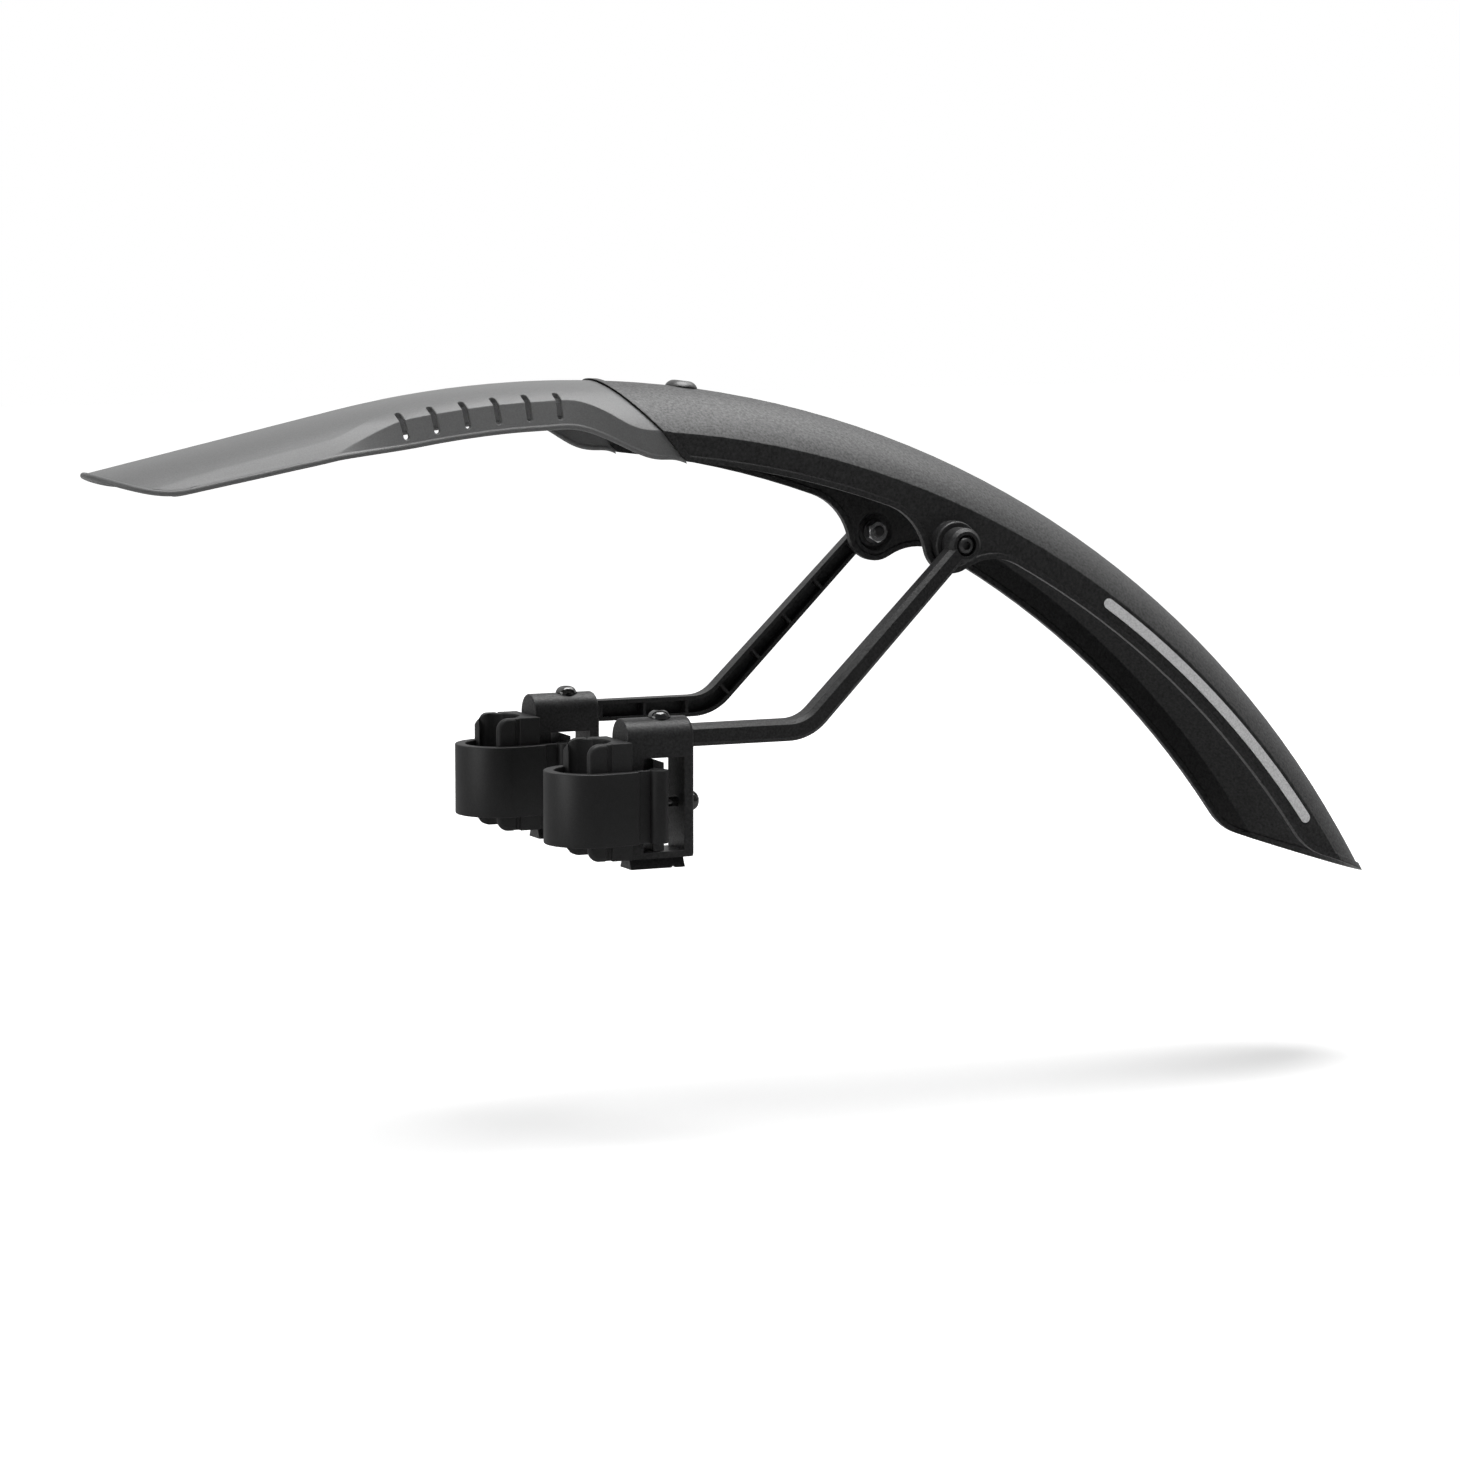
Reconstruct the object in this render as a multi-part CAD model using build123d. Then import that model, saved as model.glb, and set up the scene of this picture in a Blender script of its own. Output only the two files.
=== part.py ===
import os
from math import asin, cos, degrees, hypot, radians, sin, sqrt, tan

from build123d import *

# Frame: X runs to the rear, Z up, Y = 0 is the plane of symmetry.
# The origin lies midway between the two seat stays, at half the height of their rubber pads.

# Blade
crown_radius = 523.0
crown_width = 88.0
crown_rise = 22.3
blade_wall = 2.2
lip_drop = 35.9
front_top_angle = 2.1
front_lip_angle = 5.95
tail_angle = 60.8
tail_slope = 19.2
tail_corner_radius = 33.0
front_corner_radius = 4.0
bead_width = 2.8
bead_out = 1.0
bead_in = 0.5

# Pivots of the arms
pivot_x = 202.7
pivot_z = 115.8
pivot_angle = 23.9
pivot_drop = 41.6
ear_radius = 15.0
ear_front_radius = 31.0
ear_rear_radius = 30.0
boss_radius = 11.3
boss_height = 6.0
dish_radius = 10.6
dish_floor_radius = 8.2
dish_depth = 2.2

# Front extension
ext_wall = 2.2
ext_straight_angle = -12.4
ext_tip_angle = -26.4
ext_waist_width = 57.6
ext_waist_lip = 64.6
ext_waist_drop = 22.0
ext_front_width = 80.0
scoop_top_angle = -10.0
scoop_lip_angle = -14.3
ext_front_drop = 16.9
ext_facet_share = 0.775
facet_bulge = 0.25
ext_bead = 1.5
tip_overlap = 0.1
ext_gap = 0.3
tongue_width = 52.0
tongue_wall = 2.0
tongue_end_angle = 11.2
slot_count = 6
slot_first_angle = -10.1
slot_pitch_angle = 1.8
slot_width = 3.0
slot_inner_y = 22.5
slot_bottom_drop = 17.5

# Reflective strips
strip_start_angle = 35.0
strip_end_angle = 54.2
strip_drop = 26.7
strip_width = 5.2
strip_thickness = 0.8
strip_pocket = 0.4

# Extension bolt
ext_bolt_angle = 7.4
ext_bolt_head = 15.8
ext_bolt_height = 3.6
ext_bolt_thread = 6.0

# Arms
arm_angle = 44.7
arm_height = 10.5
arm_tip_height = 9.5
arm_thickness = 10.2
arm_tip_thickness = 7.8
arm_chamfer = 2.1
arm_bend_radius = 23.0
arm_eye_radius = 8.6
channel_height = 6.4
channel_depth = 6.0
rib_pitch = 24.7
rib_first = 11.5
rib_level_first = 13.0
rib_level_pitch = 23.4
rib_width = 1.5
peg_radius = 4.5
peg_groove_depth = 1.2
peg_groove_width = 6.4

# Stay clamps
stay_spacing = 117.0
stay_radius = 11.0
block_front = 16.5
block_rear = 51.7
block_width = 19.6
socket_z = 28.7
block_bottom = -29.1
block_edge = 0.8
block_rear_edge = 2.0
window_front = 24.7
window_rear = 46.2
window_top = 19.6
window_bottom = -26.0
pad_front = -6.0
pad_width = 31.2
pad_height = 56.8
pad_corner = 6.0
pad_groove_x = 5.2
pad_groove_width = 1.5
pad_groove_depth = 1.1
pad_key_width = 8.0
pad_key_depth = 3.0
pad_key_height = 40.0
rail_top_width = 8.0
rail_bottom_width = 13.6
rail_height = 5.4
rail_front = 19.5
rail_rear = 47.8

# Straps and their tension bars
strap_thickness = 5.3
strap_end_thickness = 3.4
strap_height = 35.4
strap_z = -3.0
strap_band_end = 19.1
strap_neck = 2.0
strap_neck_drop = 2.4
strap_hem = 2.1
loop_radius = 4.8
loop_pin_radius = 2.4
bar_front = 29.9
bar_rear = 35.6
loop_web_width = 3.0

# Fasteners
pivot_thread = 6.0
pivot_head = 9.6
pivot_head_height = 3.3
nut_flats = 10.0
nut_height = 5.0
washer_height = 1.0
washer_diameter = 12.0
lock_thread = 5.0
lock_head = 10.5
lock_head_height = 3.9
lock_x = 37.1
tension_thread = 5.0
tension_head = 9.8
tension_head_height = 4.2
tension_washer_height = 1.4

# Clearances
running = 0.05
loose = 0.15
apart = 0.3

# Derived places
half_crown = crown_width / 2
arch_radius = (half_crown ** 2 + crown_rise ** 2) / (2 * crown_rise)
pivot_rho = crown_radius - pivot_drop
arc_x = pivot_x - pivot_rho * sin(radians(pivot_angle))
arc_z = pivot_z - pivot_rho * cos(radians(pivot_angle))
arc_axis = Axis((arc_x, 0, arc_z), (0, 1, 0))
boss_top_y = half_crown + boss_height
arm_in_y = boss_top_y + apart
arm_out_y = arm_in_y + arm_thickness
stay_y = stay_spacing / 2
ext_bolt_seat = arch_radius - sqrt(arch_radius ** 2 - (ext_bolt_head / 2) ** 2)
elbow_x = pivot_x - (pivot_z - socket_z) / tan(radians(arm_angle))
bend_run = arm_bend_radius * tan(radians(arm_angle) / 2)
bend_x = elbow_x - bend_run
bend_z = socket_z + arm_bend_radius
bend_axis = Axis((bend_x, 0, bend_z), (0, -1, 0))
arm_end_x = block_rear + apart
arm_side = stay_y - arm_thickness / 2
tension_z = (window_top + window_bottom) / 2
pad_tip_radius = 0.49 * (pad_width / 2 - stay_radius)
strap_inner = hypot(pad_width / 2, pad_front + pad_tip_radius) + apart
strap_outer = strap_inner + strap_thickness
pin_x = bar_front + 0.4
pin_y = block_width / 2 + apart + loop_radius


def arc_point(rho, angle):
    a = radians(angle)
    return (arc_x + rho * sin(a), arc_z + rho * cos(a))


def smooth(value, start, end):
    f = min(max((value - start) / (end - start), 0.0), 1.0)
    return f * f * (3 - 2 * f)


def sink(y):
    # Depth of the crown's outer skin below its top line, at a distance y from the middle
    return arch_radius - sqrt(arch_radius ** 2 - y ** 2)


def save(shape, name):
    export_step(shape, os.path.join("parts", name + ".step"))


# Blade
def skin_section(outward, inward, drop):
    # Arched crown with two upright flanges, between two offsets of the blade's outer skin
    centre = arc_z + crown_radius - arch_radius
    bottom = arc_z + crown_radius - drop
    a = half_crown + outward
    b = half_crown - inward
    ro = arch_radius + outward
    ri = arch_radius - inward
    zo = centre + sqrt(ro ** 2 - a ** 2)
    zi = centre + sqrt(ri ** 2 - b ** 2)

    def half_arc(r, start, end):
        middle = (asin(start / r) + asin(end / r)) / 2
        points = []
        for lean in (asin(start / r), middle, asin(end / r)):
            points.append((r * sin(lean), centre + r * cos(lean)))
        return ThreePointArc(*points)

    edges = [
        half_arc(ro, -a, 0),
        half_arc(ro, 0, a),
        Polyline((a, zo), (a, bottom), (b, bottom), (b, zi)),
        half_arc(ri, b, 0),
        half_arc(ri, 0, -b),
        Polyline((-b, zi), (-b, bottom), (-a, bottom), (-a, zo)),
    ]
    return Plane((arc_x, 0, 0), x_dir=(0, 1, 0), z_dir=(1, 0, 0)) * make_face(edges)


def turned(section, start, end):
    return revolve(section.rotate(arc_axis, start), arc_axis, end - start)


def front_line(shift):
    # Sloping front edge of the blade in side view, moved forward by shift
    xt, zt = arc_point(crown_radius, front_top_angle)
    xl, zl = arc_point(crown_radius - lip_drop, front_lip_angle)
    n = hypot(xl - xt, zl - zt)
    dx, dz = (xl - xt) / n, (zl - zt) / n
    return (xt + dz * shift, zt - dx * shift), (xl + dz * shift, zl - dx * shift), (dx, dz)


def meet(point, way, rho):
    # First place where a line comes to the arc of radius rho
    x, z = point[0] - arc_x, point[1] - arc_z
    along = x * way[0] + z * way[1]
    run = -along - sqrt(along ** 2 - x ** 2 - z ** 2 + rho ** 2)
    return (point[0] + way[0] * run, point[1] + way[1] * run)


def beyond(point, way, run):
    return (point[0] - way[0] * run, point[1] - way[1] * run)


def blade_outline(margin):
    # Side view of the blade, drawn in by a margin; its top lies clear above the crown
    rho = crown_radius - lip_drop + margin
    top, low, front_way = front_line(-margin)
    low = meet(top, front_way, rho)
    a = radians(tail_slope)
    tail_way = (-cos(a), sin(a))
    tip = arc_point(crown_radius, tail_angle)
    tip = (tip[0] + margin * sin(a), tip[1] + margin * cos(a))
    tail = meet(tip, tail_way, rho)
    start = beyond(top, front_way, 16)
    end = beyond(tip, tail_way, 22)
    t_mid = (front_top_angle + tail_angle) / 2
    edges = [
        Line(start, low),
        ThreePointArc(low, arc_point(rho, t_mid), tail),
        Line(tail, end),
        ThreePointArc(end, arc_point(crown_radius + 26, t_mid), start),
    ]
    body = make_face(edges)
    body = fillet(body.vertices().sort_by_distance(tail)[0], tail_corner_radius - margin)
    body = fillet(body.vertices().sort_by_distance(low)[0], front_corner_radius - margin)
    ear = ear_radius - margin
    body = body + Pos(pivot_x, pivot_z) * Circle(ear)
    meets = [v for v in body.vertices() if abs(hypot(v.X - pivot_x, v.Y - pivot_z) - ear) < 0.01]
    meets = sorted(meets, key=lambda v: v.X)
    first = (meets[0].X, meets[0].Y, 0)
    last = (meets[-1].X, meets[-1].Y, 0)
    body = fillet(body.vertices().sort_by_distance(first)[0], ear_front_radius + margin)
    return fillet(body.vertices().sort_by_distance(last)[0], ear_rear_radius + margin)


def across(sketch, half):
    return extrude(Plane.XZ * sketch, half, both=True)


def along_y(shape, x, y, z):
    # Places a shape built along Z so that its own Z points to +Y
    return Pos(x, y, z) * Rot(-90, 0, 0) * shape


def both_sides(shape):
    return [shape, mirror(shape, Plane.XZ)]


def strip_face(grow):
    rho = crown_radius - strip_drop
    half = strip_width / 2 + grow
    a0, a1 = strip_start_angle, strip_end_angle
    mid = (a0 + a1) / 2
    p0, p1 = arc_point(rho, a0), arc_point(rho, a1)
    edges = [
        ThreePointArc(arc_point(rho + half, a0), arc_point(rho + half, mid), arc_point(rho + half, a1)),
        ThreePointArc(arc_point(rho - half, a0), arc_point(rho - half, mid), arc_point(rho - half, a1)),
        Line(arc_point(rho + half, a0), arc_point(rho - half, a0)),
        Line(arc_point(rho + half, a1), arc_point(rho - half, a1)),
    ]
    face = make_face(edges)
    return face + Pos(*p0) * Circle(half) + Pos(*p1) * Circle(half)


def strip_solid(grow, y_in, y_out):
    plate = extrude(Plane.XZ * strip_face(grow), y_out - y_in)
    return Pos(0, y_out, 0) * plate


def on_crown(shape, angle):
    # Stands a shape built along Z on the crown's top line
    x, z = arc_point(crown_radius, angle)
    return Pos(x, 0, z) * Rot(0, angle, 0) * shape


def ext_bolt_passage():
    # Flat seat for the head and a hole for the shank
    rise = 4.0
    seat = Pos(0, 0, rise / 2 - ext_bolt_seat) * Cylinder(ext_bolt_head / 2 + loose, rise)
    return seat + Cylinder(ext_bolt_thread / 2 + loose, 40)


def build_blade():
    outline = blade_outline(0)
    start, end = front_top_angle - 4, tail_angle + 5
    deep = pivot_drop + ear_radius + 8
    skin = turned(skin_section(0, blade_wall, deep), start, end)
    shell = skin & across(outline, crown_width)
    shell = shell - on_crown(ext_bolt_passage(), ext_bolt_angle)
    rim = turned(skin_section(bead_out, blade_wall + bead_in, deep + 1), start, end)
    band = outline - blade_outline(bead_width)
    shell = shell + (rim & across(band, crown_width))
    hole = pivot_thread / 2 + loose
    for s in (1, -1):
        knob = Cylinder(boss_radius, boss_height + blade_wall / 2)
        knob = fillet(knob.edges().sort_by(Axis.Z)[-1], 0.9)
        knob = along_y(knob, pivot_x, boss_top_y - (boss_height + blade_wall / 2) / 2, pivot_z)
        dish = Cone(dish_radius, dish_floor_radius, dish_depth + 1)
        lift = half_crown - blade_wall + dish_depth / 2 - 0.5
        dish = along_y(dish, pivot_x, lift, pivot_z)
        bore = along_y(Cylinder(hole, 40), pivot_x, half_crown, pivot_z)
        pocket = strip_solid(loose, half_crown - strip_pocket, half_crown + 5)
        if s < 0:
            knob, dish, bore, pocket = [mirror(p, Plane.XZ) for p in (knob, dish, bore, pocket)]
        shell = shell + knob - dish - bore - pocket
    return shell


# Front extension
def station(angle):
    # Plane across the extension at one angle; ahead of the straight angle it runs on in a line
    a = radians(max(angle, ext_straight_angle))
    x, z = arc_point(crown_radius, degrees(a))
    ahead = radians(min(angle - ext_straight_angle, 0)) * crown_radius
    origin = (x + ahead * cos(a), 0, z - ahead * sin(a))
    return Plane(origin, x_dir=(0, 1, 0), z_dir=(cos(a), 0, -sin(a)))


def ext_corners(angle):
    # Facet crease, side crease and lip of one cross-section, as (y, depth) pairs
    rear = smooth(angle, -0.6, 3.3)
    waist = ext_waist_width / 2
    tip_half = ext_front_width / 2 + 0.19 * min(angle + 15.2, 0)
    wide = smooth(angle, -0.6, 3.6)
    flare = smooth(-angle, 9.0, 15.4)
    low = smooth(angle, -0.6, 4.3)
    y3 = ext_waist_lip / 2
    y3 = y3 + (half_crown - y3) * wide + (tip_half - y3) * flare
    front_drop = ext_front_drop + 0.3 * (angle + 15.2)
    d3 = ext_waist_drop + (lip_drop - ext_waist_drop) * low + (front_drop - ext_waist_drop) * flare
    facet = smooth(-angle, 10.0, 14.6)
    side = waist + (half_crown - 0.4 - waist) * rear
    y1 = 0.7 * side * (1 - facet) + ext_facet_share * ext_front_width / 2 * facet
    d1 = sink(y1) * (1 - 0.07 * facet)
    # The crease of the scoop runs down to the lip on a slant
    slide = min(max((angle - scoop_top_angle) / (scoop_lip_angle - scoop_top_angle), 0), 1)
    share = 0.27 + 0.18 * smooth(-angle, 15.4, 20.0)
    y2 = side * (1 - slide) + (share * y1 + (1 - share) * tip_half) * slide
    ramp = d1 + (front_drop - d1) * (y2 - y1) / (tip_half - y1)
    d2 = sink(y2) * (1 - facet) + ramp * facet
    ym = (y1 + y2) / 2
    dm = sink(ym) * (1 - facet) + ((d1 + d2) / 2 - facet_bulge) * facet
    return (y1, d1), (ym, dm), (y2, d2), (y3, d3)


def unit(p, q):
    n = hypot(q[0] - p[0], q[1] - p[1])
    return ((q[0] - p[0]) / n, (q[1] - p[1]) / n)


def inset(p, u, v, amount):
    # Moves a corner between directions u and v to the inside of the section
    nu, nv = (-u[1], u[0]), (-v[1], v[0])
    k = amount / (1 + nu[0] * nv[0] + nu[1] * nv[1])
    return (p[0] + (nu[0] + nv[0]) * k, p[1] + (nu[1] + nv[1]) * k)


def ext_section(angle):
    p1, pm, p2, p3 = ext_corners(angle)
    bend = (p1[0] ** 2 + p1[1] ** 2) / (2 * p1[1])
    slope = (sqrt(bend ** 2 - p1[0] ** 2) / bend, p1[0] / bend)
    c1, c2, wall = unit(p1, pm), unit(pm, p2), unit(p2, p3)
    i1 = inset(p1, slope, c1, ext_wall)
    im = inset(pm, c1, c2, ext_wall)
    i2 = inset(p2, c2, wall, ext_wall)
    # The bead is a round bar on the end of the wall
    rise = ext_bead + sqrt(ext_bead ** 2 - (ext_wall / 2) ** 2)
    o3 = (p3[0] - wall[0] * rise, p3[1] - wall[1] * rise)
    i3 = inset(o3, wall, wall, ext_wall)
    end = inset(p3, wall, wall, ext_wall / 2)
    right = []
    left = []
    for p in (p1, pm, p2, o3, end, i3, i2, im, i1):
        right.append((p[0], -p[1]))
        left.append((-p[0], -p[1]))
    edges = [ThreePointArc(left[0], (0, 0), right[0])]
    edges.append(ThreePointArc(right[8], (0, -ext_wall), left[8]))
    for q in (right, left):
        edges.append(ThreePointArc(q[0], q[1], q[2]))
        edges.append(Line(q[2], q[3]))
        edges.append(ThreePointArc(q[3], q[4], q[5]))
        edges.append(Line(q[5], q[6]))
        edges.append(ThreePointArc(q[6], q[7], q[8]))
    return station(angle) * make_face(edges)


def lip_centre(angle):
    # Middle of the lip's bead
    p1, pm, p2, p3 = ext_corners(angle)
    wall = unit(p2, p3)
    end = (p3[0] - wall[0] * ext_bead, p3[1] - wall[1] * ext_bead)
    return inset(end, wall, wall, ext_wall / 2)


def slot_cutter(angle):
    reach = 30.0
    bottom = slot_bottom_drop - slot_width / 2
    flat = Pos(slot_inner_y + reach / 2, 0) * SlotOverall(reach, slot_width)
    rise = 12.0
    tall = Pos(0, 0, -bottom) * extrude(flat, bottom + rise)
    floor = Pos(slot_inner_y + reach / 2 + 3, 0, -bottom) * Rot(0, 90, 0) * Cylinder(slot_width / 2, reach - 6)
    # Built with X across the extension and Z upward, then stood on its station
    plane = station(angle)
    stand = Plane(plane.origin, x_dir=(0, 1, 0), z_dir=plane.y_dir)
    return [stand * (tall + floor), mirror(stand * (tall + floor), Plane.XZ)]


def tip_radius():
    # The tip is half a circle in plan, through the middle of both lips
    return lip_centre(ext_tip_angle + 4)[0]


def tip_path():
    # Round front edge, followed inside the wall from one lip to the other
    points = []
    half = tip_radius()
    for k in range(-9, 10):
        phi = radians(10 * k)
        y = half * sin(phi)
        angle = ext_tip_angle + degrees(half * (1 - cos(phi)) / crown_radius)
        p1, pm, p2, p3 = ext_corners(angle)
        bend = (p1[0] ** 2 + p1[1] ** 2) / (2 * p1[1])
        ledge = unit(p1, p3)
        if abs(y) <= p1[0]:
            level = sqrt(bend ** 2 - y ** 2) / bend
            depth = bend * (1 - level)
        else:
            level = ledge[0]
            depth = p1[1] + (abs(y) - p1[0]) * ledge[1] / ledge[0]
        depth += ext_wall * (0.25 + 0.25 * sin(phi) ** 2) / level
        points.append(station(angle).from_local_coords((y, -depth, 0)))
    return Spline(points)


def tip_cutter():
    # Removes what lies ahead of the round front edge; the wall ends inside the rim
    plane = station(ext_tip_angle)
    half = tip_radius()
    flat = Plane(plane.origin, x_dir=(0, 1, 0), z_dir=plane.y_dir)
    ahead = Rectangle(2 * half + 60, 2 * half) - Pos(0, -half) * Circle(half - tip_overlap * ext_bead)
    return extrude(flat * ahead, 60, both=True)


def build_extension():
    run = [ext_tip_angle - 1.2, -25.0, -22.5, -20.0, -17.5, -16.0, -15.0, -14.3, -13.6, -12.8, -12.0, -11.2]
    run += [-10.4, -9.6, -8.5, -6.0, -3.5, -1.5, -0.3, 0.7, 1.6, 2.5, 3.4, 4.4, 5.6, 7.0]
    body = loft([ext_section(a) for a in run])
    body = body - tip_cutter()
    path = tip_path()
    # A little thinner than the bead, so that its ends lie inside it
    rim = sweep(Plane(path @ 0, z_dir=path % 0) * Circle(0.95 * ext_bead), path=path)
    body = body + rim
    # The rear edge stops short of the blade's front bead
    top, low, (dx, dz) = front_line(ext_gap)
    far = 80.0
    cut = make_face(Polyline(
        (top[0] - dx * far, top[1] - dz * far), (low[0] + dx * far, low[1] + dz * far),
        (low[0] + dx * far + 150, low[1] + dz * far), (top[0] - dx * far + 150, top[1] - dz * far), close=True))
    cut = across(cut, crown_width)
    body = body - cut
    tools = []
    for k in range(slot_count):
        tools += slot_cutter(slot_first_angle + k * slot_pitch_angle)
    body = body - tools
    # Tongue that slides under the blade's crown
    under = blade_wall + bead_in + loose
    reach = crown_width
    lane = Box(4 * reach, tongue_width, 4 * reach)
    tongue = turned(skin_section(-under, under + tongue_wall, lip_drop - 6), 0.4, tongue_end_angle)
    pad = turned(skin_section(-ext_wall + 0.6, under + tongue_wall, lip_drop - 6), 0.4, front_lip_angle)
    tongue = (tongue + (pad - cut)) & (Pos(arc_x, 0, arc_z + crown_radius) * lane)
    body = body + tongue
    body = body - on_crown(Cylinder(ext_bolt_thread / 2 + loose, 40), ext_bolt_angle)
    return body


# Fasteners, built with the head above Z = 0 and the shank below it
def dome_screw(head, height, thread, length, flats):
    r = head / 2
    top = 0.42 * r
    rim = 0.22 * height
    edges = [
        Line((0, 0), (r, 0)),
        Line((r, 0), (r, rim)),
        ThreePointArc((r, rim), (0.8 * r, 0.74 * height), (top, height)),
        Line((top, height), (0, height)),
        Line((0, height), (0, 0)),
    ]
    cap = revolve(Plane.XZ * make_face(edges), Axis.Z)
    shank = Pos(0, 0, -length / 2) * Cylinder(thread / 2, length)
    shank = chamfer(shank.edges().sort_by(Axis.Z)[0], 0.12 * thread)
    key = Pos(0, 0, 0.35 * height) * extrude(RegularPolygon(flats / 2, 6, major_radius=False), height)
    return cap + shank - key


def hex_nut(flats, height, thread):
    body = extrude(RegularPolygon(flats / 2, 6, major_radius=False), height)
    tip = Cone(flats / 2 + 2.4, flats / 2 - 0.1, 2.5)
    shave = Pos(0, 0, height - 1.25) * tip + Pos(0, 0, (height - 2.5) / 2) * Cylinder(flats, height - 2.5)
    body = body & shave
    return body - Cylinder(thread / 2 + running, 4 * height)


def ring(outer, inner, height):
    return Pos(0, 0, height / 2) * (Cylinder(outer / 2, height) - Cylinder(inner / 2, 2 * height))


# Arms, built on the +Y side


def arm_profile(half, y0, depth, bevel):
    points = [(y0, -half), (y0, half), (y0 + depth - bevel, half), (y0 + depth, half - bevel),
              (y0 + depth, bevel - half), (y0 + depth - bevel, -half)]
    if bevel == 0:
        points = [(y0, -half), (y0, half), (y0 + depth, half), (y0 + depth, -half)]
    return Plane((bend_x, 0, socket_z), x_dir=(0, 1, 0), z_dir=(1, 0, 0)) * make_face(Polyline(*points, close=True))


def arm_run(profile, tip_profile, end_x, short):
    level = extrude(profile, bend_x - end_x, dir=(-1, 0, 0))
    curve = revolve(profile, bend_axis, arm_angle)
    a = radians(arm_angle)
    start = Vector(bend_x + arm_bend_radius * sin(a), 0, bend_z - arm_bend_radius * cos(a))
    goal = Vector(pivot_x, arm_in_y - arm_side, pivot_z)
    way = goal - start
    reach = way.normalized() * (way.length - short)
    far = tip_profile.rotate(bend_axis, arm_angle).moved(Location(reach))
    slope = loft([profile.rotate(bend_axis, arm_angle), far], ruled=True)
    return level + curve + slope


def arm_ribs():
    slabs = []
    a = radians(arm_angle)
    slope_length = hypot(pivot_x - elbow_x, pivot_z - socket_z)
    rib = Box(rib_width, 60, 2 * arm_height)
    run = rib_first
    while run < slope_length - arm_eye_radius - 6:
        place = Pos(elbow_x + run * cos(a), stay_y, socket_z + run * sin(a))
        slabs.append(place * Rot(0, -arm_angle, 0) * rib)
        run += rib_pitch
    run = rib_level_first
    while elbow_x - run > arm_end_x + 6:
        slabs.append(Pos(elbow_x - run, stay_y, socket_z) * rib)
        run += rib_level_pitch
    return slabs


def build_arm():
    outer = arm_profile(arm_height / 2, arm_side, arm_thickness, arm_chamfer)
    inner = arm_side + arm_thickness - arm_tip_thickness
    narrow = arm_profile(arm_tip_height / 2, inner, arm_tip_thickness, arm_chamfer)
    body = arm_run(outer, narrow, arm_end_x, 0)
    eye = Cylinder(arm_eye_radius, arm_thickness)
    eye = chamfer(eye.edges().sort_by(Axis.Z)[-1], 0.8 * arm_chamfer)
    body = body + along_y(eye, pivot_x, arm_in_y + arm_thickness / 2, pivot_z)
    short = arm_eye_radius + 4
    hollow = arm_profile(channel_height / 2, arm_side - 3, channel_depth + 3, 0)
    trough = arm_run(hollow, hollow, arm_end_x + 3, short)
    for slab in arm_ribs():
        trough = trough - slab
    body = body - trough
    length = arm_end_x - block_front - 8
    peg = Cylinder(peg_radius, length)
    peg = Pos(arm_end_x - length / 2 + 0.01, stay_y, socket_z) * Rot(0, 90, 0) * peg
    groove = Cylinder(peg_radius + 2, peg_groove_width) - Cylinder(peg_radius - peg_groove_depth, peg_groove_width)
    peg = peg - Pos(lock_x, stay_y, socket_z) * Rot(0, 90, 0) * groove
    body = body + peg
    bore = Cylinder(pivot_thread / 2 + running, 4 * arm_thickness)
    well = Cylinder(pivot_head / 2 + 0.65, 2 * pivot_head_height)
    body = body - along_y(bore, pivot_x, arm_in_y, pivot_z)
    return body - along_y(well, pivot_x, arm_out_y + 0.3, pivot_z)


# Stay clamps, built about their own stay axis and moved to the sides
def build_clamp_body():
    half = block_width / 2
    arch = Rectangle(block_width, socket_z - block_bottom)
    arch = Pos(0, (socket_z + block_bottom) / 2) * arch + Pos(0, socket_z) * Circle(half)
    length = block_rear - block_front
    body = extrude(Plane((block_front, 0, 0), x_dir=(0, 1, 0), z_dir=(1, 0, 0)) * arch, length)
    body = fillet(body.faces().sort_by(Axis.X)[-1].edges(), block_rear_edge)
    body = fillet(body.faces().sort_by(Axis.X)[0].edges(), block_edge)
    tall = window_top - window_bottom
    window = Box(window_rear - window_front, 2 * block_width, tall)
    body = body - Pos((window_front + window_rear) / 2, 0, (window_top + window_bottom) / 2) * window
    deep = arm_end_x - block_front - 8 + 0.6
    socket = Cylinder(peg_radius + running, deep)
    body = body - Pos(block_rear + apart - deep / 2, 0, socket_z) * Rot(0, 90, 0) * socket
    seat = socket_z + half - 0.8
    body = body - Pos(lock_x, 0, seat + 5) * Cylinder(lock_head / 2 + 0.5, 10)
    body = body - Pos(lock_x, 0, socket_z + half) * Cylinder(lock_thread / 2 + running, 2 * half)
    body = body - Pos(block_rear, 0, tension_z) * Rot(0, 90, 0) * Cylinder(tension_thread / 2 + running, 20)
    key = Box(2 * pad_key_depth + 2 * loose, pad_key_width + 2 * loose, pad_key_height + 2 * loose)
    body = body - Pos(block_front, 0, 0) * key
    top, low = rail_top_width / 2, rail_bottom_width / 2
    z0, z1 = block_bottom + 0.5, block_bottom - rail_height
    rail = make_face(Polyline((-top, z0), (top, z0), (low, z1), (-low, z1), close=True))
    rail = extrude(Plane((rail_front, 0, 0), x_dir=(0, 1, 0), z_dir=(1, 0, 0)) * rail, rail_rear - rail_front)
    notch = Pos(rail_rear - 6, 0, z1) * Rot(0, 45, 0) * Box(1.6, 40, 1.6)
    return body + (rail - notch)


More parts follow.
